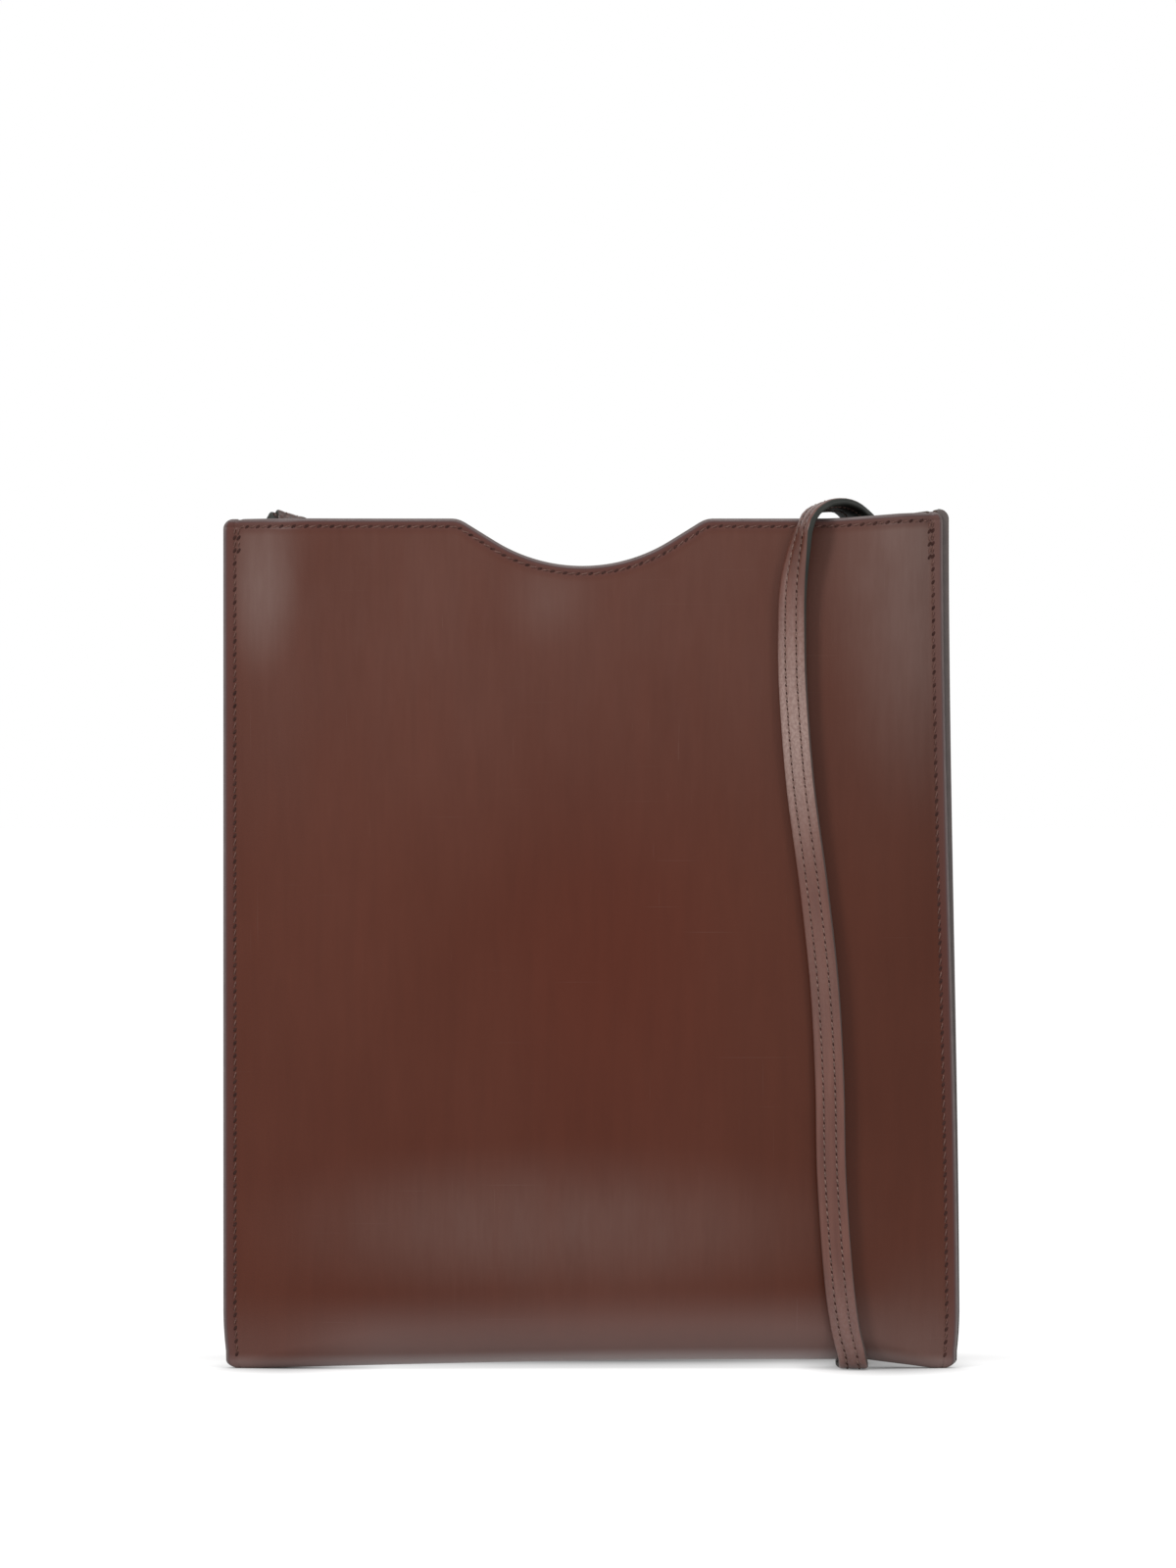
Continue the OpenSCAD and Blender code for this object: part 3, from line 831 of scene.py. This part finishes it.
def shell_leather():
    """Brown vegetable-tanned leather, waxed: cloudy, with fine grain, faint scratches and purple-grey
    margins, painted sheen and reflection over the corners, belly, fold and upper part, and painted
    shade over the middle and towards the right."""
    material, tree = new_material("shell_leather", 0.34, 0.12)
    places = places_on(tree)
    apart = new_node(tree, "ShaderNodeSeparateXYZ", {0: places}).outputs
    across, height = apart["X"], apart["Z"]
    clouds = noise(tree, places, (14, 14, 9), 4, 0.55)
    colour = ramp(tree, clouds, (0.25, (0.074, 0.0186, 0.0100)), (0.5, (0.085, 0.0234, 0.0134)),
                  (0.78, (0.098, 0.0295, 0.0182)))
    # Painted shade: the middle of the panel is deeper and redder, where no sheen falls.
    painted_shade_middle = soft_patch(tree, places, (0.006, -0.012, 0.118), (0.055, 0.03, 0.075))
    colour = mixed(tree, product(tree, painted_shade_middle, 0.4), colour, (0.090, 0.0180, 0.0088, 1))
    streaks = noise(tree, places, (260, 260, 30), 4, 0.6)
    grey_streaks = ramp(tree, streaks, (0.2, (0.3, 0.3, 0.3)), (0.8, (0.7, 0.7, 0.7)))
    colour = mixed(tree, 0.16, colour, grey_streaks, "OVERLAY")
    # Painted shade: the panel darkens from the middle towards its right side.
    painted_shade_right = product(tree, between(tree, across, 0.015, 0.085), 0.13)
    colour = mixed(tree, painted_shade_right, colour, (0.040, 0.018, 0.010, 1))

    # Painted sheen and reflection: pale patches at the corners, most of all over the knots, on the belly
    # and over all of the upper part.
    painted_sheen = product(tree, between(tree, height, 0.12, 0.245), 0.13)
    for centre, spread, strength in [
        ((-0.0970, -0.008, 0.2340), (0.0150, 0.03, 0.036), 0.40),
        ((0.0950, -0.008, 0.2400), (0.032, 0.03, 0.088), 0.40),
        ((0.1090, -0.003, 0.2000), (0.010, 0.03, 0.110), 0.60),
        ((0.1040, -0.008, 0.0060), (0.045, 0.03, 0.036), 0.20),
        ((-0.0130, -0.008, 0.2270), (0.018, 0.03, 0.018), 0.12),
        ((-0.0120, -0.014, 0.0420), (0.112, 0.03, 0.028), 0.26),
    ]:
        painted_sheen = combined(tree, "MULTIPLY_ADD", soft_patch(tree, places, centre, spread), strength, painted_sheen)
    uneven = between(tree, noise(tree, places, (45, 45, 22), 4, 0.6), 0.1, 0.7)
    creases = between(tree, noise(tree, places, (520, 520, 60), 3, 0.6), 0.3, 0.7)
    margin = new_node(tree, "ShaderNodeAttribute", attribute_name="edge_in").outputs["Fac"]
    open_face = between(tree, margin, 3.2, 5.2)
    for softener, share, least in ((uneven, 0.5, 0.75), (creases, 0.12, 0.94), (open_face, 0.4, 0.6)):
        painted_sheen = product(tree, painted_sheen, combined(tree, "MULTIPLY_ADD", softener, share, least))
    colour = mixed(tree, painted_sheen, colour, (0.205, 0.140, 0.124, 1))

    # Painted reflection of the floor: the fold is paler where it turns under, most of all in the middle.
    middle = between(tree, combined(tree, "ABSOLUTE", across), 0.095, 0.058)
    middle = combined(tree, "MULTIPLY_ADD", middle, 0.57, 0.28)
    arched = combined(tree, "SUBTRACT", between(tree, across, -0.100, 0.040),
                      between(tree, across, 0.080, 0.102))
    over_arch = combined(tree, "SUBTRACT", height, product(tree, arched, 0.0022))
    for high, low, strength in ((0.024, 0.004, 0.28), (0.0048, 0.0012, 0.90)):
        fold = product(tree, between(tree, over_arch, high, low), strength)
        colour = mixed(tree, product(tree, fold, middle), colour, (0.36, 0.29, 0.28, 1))

    # Margins along the painted edges, tinted purple-grey.
    for reach, strength, tone in (((4.6, 2.2), 0.26, (0.095, 0.050, 0.050, 1)),
                                  ((1.9, 0.6), 0.30, (0.095, 0.050, 0.050, 1)),
                                  ((1.3, 0.9), 0.50, (0.080, 0.060, 0.064, 1))):
        margin_tint = product(tree, between(tree, margin, *reach), strength)
        colour = mixed(tree, margin_tint, colour, tone)

    # A few fine scratches: level ones and upright ones.
    for spacing, band, strength in (((22, 22, 2400), (0.73, 0.80), 0.10),
                                    ((1900, 1900, 30), (0.74, 0.80), 0.07)):
        scratch = between(tree, noise(tree, places, spacing, 2, 0.4), *band)
        colour = mixed(tree, product(tree, scratch, strength), colour, (0.26, 0.19, 0.17, 1))
    pores = bump(tree, noise(tree, places, 1500.0, 3, 0.6), 0.00006, 0.5)
    return surfaced(material, colour, bump(tree, streaks, 0.00012, 0.35, pores))


def edge_paint():
    """Dull purple-brown edge paint, rubbed smooth over the joined plies, and greyer behind."""
    material, tree = new_material("edge_paint", 0.4, 0.5)
    places = places_on(tree)
    blotches = noise(tree, places, 260.0, 3)
    colour = ramp(tree, blotches, (0.3, (0.085, 0.058, 0.055)), (0.7, (0.115, 0.082, 0.078)))
    depth = new_node(tree, "ShaderNodeSeparateXYZ", {0: places}).outputs["Y"]
    colour = mixed(tree, between(tree, depth, -0.0005, 0.0010), colour, (0.052, 0.058, 0.052, 1))
    return surfaced(material, colour, bump(tree, blotches, 0.0002, 0.5))


front_grid = panel_places(-1, front_push, front_short)
back_grid = panel_places(1, back_push, back_short)
grid = np.array(front_grid + back_grid[-2::-1]).transpose(0, 2, 1)
bare = grid[..., :3]
side_in, below_rim = grid[..., 3], grid[..., 4]
normals = outward(bare)
sunk = (rounding(side_in, below_rim, edge_round)
        + groove(side_in, side_stitch_in, *side_groove)
        + groove(below_rim, mouth_stitch_in, *mouth_groove))
shell_outer = bare - normals * sunk[..., None]
shell_inner = bare - normals * leather
edge_in = np.minimum(side_in, below_rim)
painted = np.maximum(edge_in[:-1, :-1], edge_in[1:, 1:]) <= paint_reach
shell_materials = [shell_leather(), edge_paint()]
unpainted = np.zeros_like(painted)
shell = sheet_piece("leather_shell", shell_outer, shell_inner, shell_materials,
                    painted, unpainted, edge_in)
punch_holes(shell, shell_materials[1])
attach(shell, "root")
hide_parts("outer_leather")


# ---- Lining ------------------------------------------------------------------------------
# A thinner sheet of dark leather, folded inside the shell and sewn to it round the mouth and
# down the side seams, its raw edge painted together with the shell's.
def lining_suede():
    """Thin dark brown lining leather with a short matt nap."""
    material, tree = new_material("lining_suede", 0.85, 0.2)
    shader = tree.nodes["Principled BSDF"]
    shader.inputs["Sheen Weight"].default_value = 0.1
    shader.inputs["Sheen Roughness"].default_value = 0.5
    nap = noise(tree, places_on(tree), (600, 600, 300), 4, 0.6)
    colour = ramp(tree, nap, (0.3, (0.040, 0.024, 0.017)), (0.7, (0.070, 0.044, 0.032)))
    return surfaced(material, colour, bump(tree, nap, 0.00015, 0.6))


lining_gap = 0.03
lining_round = 0.5
seam_band = 2.75
lining_outer = bare - normals * (leather + lining_gap)
lining_rounded = rounding(lining_round, below_rim, lining_round)
lining_inner = bare - normals * (leather + lining_leather - lining_rounded)[..., None]
in_seam = (side_in[:-1, :-1] + side_in[1:, 1:]) / 2 <= seam_band
lining = sheet_piece("lining_sheet", lining_outer, lining_inner, [lining_suede(), shell_materials[1]],
                     unpainted, in_seam, edge_in)
punch_holes(lining, shell_materials[1])
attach(lining, "root")
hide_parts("lining")


# ---- Side seams --------------------------------------------------------------------------
# Saddle stitching with heavy waxed thread, 3.8 mm long, 3.5 mm in from each side. It goes
# through both panels and their linings, so it shows on the front and the back alike, and its
# top ends are locked by a few stitches sewn twice.
side_pitch = 3.8


def even_course(line, out, end_in, rise):
    """Even places along a line on the leather, with the directions along it and outwards."""
    gone = distance_along(line)
    even = np.linspace(end_in, gone[-1] - end_in, round((gone[-1] - 2 * end_in) / side_pitch) + 1)
    places, outs = read_along(even, gone, line), unit(read_along(even, gone, out))
    return places + outs * rise, unit(np.gradient(places, axis=0)), outs


heavy_thread = thread_material("heavy_thread", (0.070, 0.028, 0.020), (0.150, 0.075, 0.060))
stitch_tree = sewing_tree("heavy_stitch", stitch_sizes, one_stitch, heavy_thread)
lock_stitch_in = 4.6
lowest_stitch = 2.9
lowest_lock = purse_height - 9.5
side_sewing = []
for side in (-1, 1):
    for inset, lowest in ((side_stitch_in, lowest_stitch), (lock_stitch_in, lowest_lock)):
        column = np.argmin(np.abs(columns - side * (half_width - inset)))
        course = even_course(shell_outer[:, column], normals[:, column], end_in=4.4, rise=0.1)
        kept = course[0][:, 2] > lowest
        side_sewing.append([part[kept] for part in course])
sewn("side_stitches", side_sewing, stitch_tree, "thread",
     Length=0.0025, Thread=0.0005, Slant=-0.30)
sewn("side_needle_holes", side_sewing, hole_tree, "outer_leather",
     Pitch=side_pitch * mm, Length=0.0019, Width=0.0009, Slant=-0.75)


# ---- Mouth stitching ---------------------------------------------------------------------
# A row of the same thread runs 2.4 mm below the edge, round the finger notch, and holds the
# lining to each panel. It shows outside and inside.
mouth_row = mouth_places.index(mouth_stitch_in)
between_seams = np.where(half_width - np.abs(columns) > side_stitch_in)[0]
mouth_sewing = []
for row in (mouth_row, len(shell_outer) - 1 - mouth_row):
    for face, direction in ((shell_outer, 1), (lining_inner, -1)):
        out = direction * normals[row, between_seams]
        mouth_sewing.append(even_course(face[row, between_seams], out, end_in=2.2, rise=0.08))
sewn("mouth_stitches", mouth_sewing, stitch_tree, "thread",
     Length=0.0026, Thread=0.0005, Slant=0.25)
sewn("mouth_needle_holes", mouth_sewing, hole_tree, "outer_leather",
     Pitch=side_pitch * mm, Length=0.0017, Width=0.0008, Slant=0.6)


# ---- Knots -------------------------------------------------------------------------------
# Each end of the strap goes in through its hole and is tied in a flat overhand knot, pressed
# thin: four passes folded over the edges of a pentagon. The last pass leaves as the tail.
knot_layer = 1.75
knot_back = 3.0
knot_fold_r = 5.2
knot_squeeze = 0.7
squeezed_after = 4
knot_step = 0.7
past_hole = 3
tail = 4.6


def knot_route(centre, neck, first_angle, turn, faces_back):
    """Places and widths from the hole, through four passes and three folds, to the tail."""
    def level(layer):
        return knot_back - knot_layer * layer

    def flat(angle, y=0.0):
        return np.array([math.cos(math.radians(angle)), y, math.sin(math.radians(angle))])

    sideways = np.array([0, 1.0, 0])
    middle = np.array([centre[0], 0, centre[1]])
    points = [[np.array(place, float), np.array(width, float)] for place, width in neck]
    heading, outward_sign = first_angle, 1 if faces_back else -1
    # Each fold lies on a side of the pentagon and leads from one layer to another.
    for side, before, after in [(1, 0, 2), (3, 2, 3), (0, 3, 1)]:
        edge = flat(first_angle + turn * 72 * side)
        normal = flat(first_angle + turn * (72 * side - 90))
        fold = middle + normal * knot_fold_r + sideways * (level(before) + level(after)) / 2
        radius = (level(before) - level(after)) / 2
        course = flat(heading)
        onward = course @ normal
        drift = course @ edge / onward * abs(radius)
        for angle in np.radians([0, 45, 90, 135, 180]):
            lift = normal * math.sin(angle) * abs(radius) + sideways * math.cos(angle) * radius
            place = fold + lift + edge * drift * (angle - math.pi / 2)
            tangent = edge * (course @ edge) + onward * (
                normal * math.cos(angle) - sideways * math.sin(angle) * np.sign(radius))
            out = outward_sign * np.sign(radius) * lift / abs(radius)
            points.append([place, np.cross(out, tangent)])
        outward_sign = -outward_sign
        heading += 144 * turn
    leaving = flat(heading)
    out = outward_sign * sideways
    exit_place = middle + flat(first_angle + turn * (72 * 2 - 90)) * knot_fold_r + sideways * level(1)
    for gone_on, droop in ((0.4 * tail, 0.0), (0.7 * tail, 0.1), (tail, 0.3)):
        points.append([exit_place + leaving * gone_on - np.array([0, 0, droop]), np.cross(out, leaving)])
    return points


for name, centre, neck, first_angle, turn, faces_back in [
    ("left_knot", (-90.4, 244.1), [
        [(-88, 7.5, 241), (1, 0, 0)],
        [(-88.5, 5.9, 241), (1, 0, 0)],
        [(-90.3, 4.5, 240.1), (0.96, 0, -0.25)],
        [(-92.3, 3.6, 239.8), (0.89, 0, -0.43)],
        [(-93.6, 3.0, 241.1), (0.829, 0, -0.559)],
    ], 56, -1, True),
    ("right_knot", (88.3, 241.5), [
        [(88, 7.5, 241), (-1, 0, 0)],
        [(88.4, 5.9, 240.6), (-1, 0, 0)],
        [(89.8, 4.5, 239.6), (-0.95, 0, -0.3)],
        [(91.0, 3.6, 238.9), (-0.85, 0, -0.5)],
        [(91.2, 3.0, 239.8), (-0.766, 0, -0.643)],
    ], 130, 1, False),
]:
    tied = knot_route(centre, neck, first_angle, turn, faces_back)
    course = strap_frames(tied, knot_step)
    pressed = np.interp(course[0], [0, squeezed_after], [1.0, knot_squeeze])
    knot = swept_piece(name + "_tied", course, half_section, strap_materials, pressed)
    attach(knot, "root")
    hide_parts(name)
    knot_sewing = strap_courses(strap_frames(tied, strap_pitch),
                                stitch_face * knot_squeeze, stitch_back * knot_squeeze)
    knot_sewing = [[part[past_hole:] for part in course] for course in knot_sewing]
    sewn(name + "_stitches", knot_sewing, fine_stitch_tree, "thread",
         Length=0.0013, Thread=0.00034, Slant=0.25)


# ---- Tie ---------------------------------------------------------------------------------
# A thin flat leather lace, passed once round the rolled strap and crossed on top, which keeps
# the roll closed.
lace_half_section = [
    (0.0, 0.2, "face"), (1.4, 0.2, "face"), (2.2, 0.18, "face"), (2.42, 0.1, "edge"),
    (2.5, 0.0, "edge"), (2.42, -0.1, "edge"), (2.2, -0.18, "back"), (1.4, -0.2, "back"),
    (0.0, -0.2, "back"),
]
lace_route = [
    [(3.8, 80.0, 5.4), (1, 0, 0.2)],
    [(2.9, 80.4, 8.4), (1, 0.1, 0.2)],
    [(1.8, 82.0, 9.6), (1, 0.3, 0)],
    [(0.9, 84.5, 9.7), (1, 0.3, 0)],
    [(0.2, 87.0, 9.45), (1, 0.15, 0)],
    [(0, 87.8, 8.6), (1, 0, 0)],
    [(0, 87.85, 4.8), (1, 0, 0)],
    [(0, 87.75, 1.1), (1, 0, 0)],
    [(0, 87.0, 0.3), (1, 0, 0)],
    [(0, 84.5, 0.26), (1, 0, 0)],
    [(0, 82.0, 0.3), (1, 0, 0)],
    [(0, 81.2, 1.1), (1, 0, 0)],
    [(0, 81.15, 4.8), (1, 0, 0)],
    [(0, 81.2, 8.6), (1, 0, 0)],
    [(-0.3, 82.2, 9.8), (1, -0.15, 0)],
    [(-0.9, 84.5, 10.3), (1, -0.3, 0)],
    [(-1.8, 87.0, 9.9), (1, -0.3, 0)],
    [(-2.8, 88.4, 8.4), (1, -0.1, 0.2)],
    [(-3.7, 88.7, 5.2), (1, 0, 0.2)],
]


def lace_leather():
    """Thin dark brown lace leather, creased where it bends."""
    material, tree = new_material("lace_leather", 0.5, 0.3)
    creases = noise(tree, places_on(tree, "UV"), (900, 200, 1), 3)
    colour = ramp(tree, creases, (0.3, (0.028, 0.013, 0.009)), (0.7, (0.055, 0.026, 0.018)))
    return surfaced(material, colour, bump(tree, creases, 0.0001, 0.6))


lace_step = 0.6
lace = swept_piece("tie_lace", strap_frames(lace_route, lace_step), lace_half_section,
                   [lace_leather()] * 3)
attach(lace, "root")
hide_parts("strap_tie")
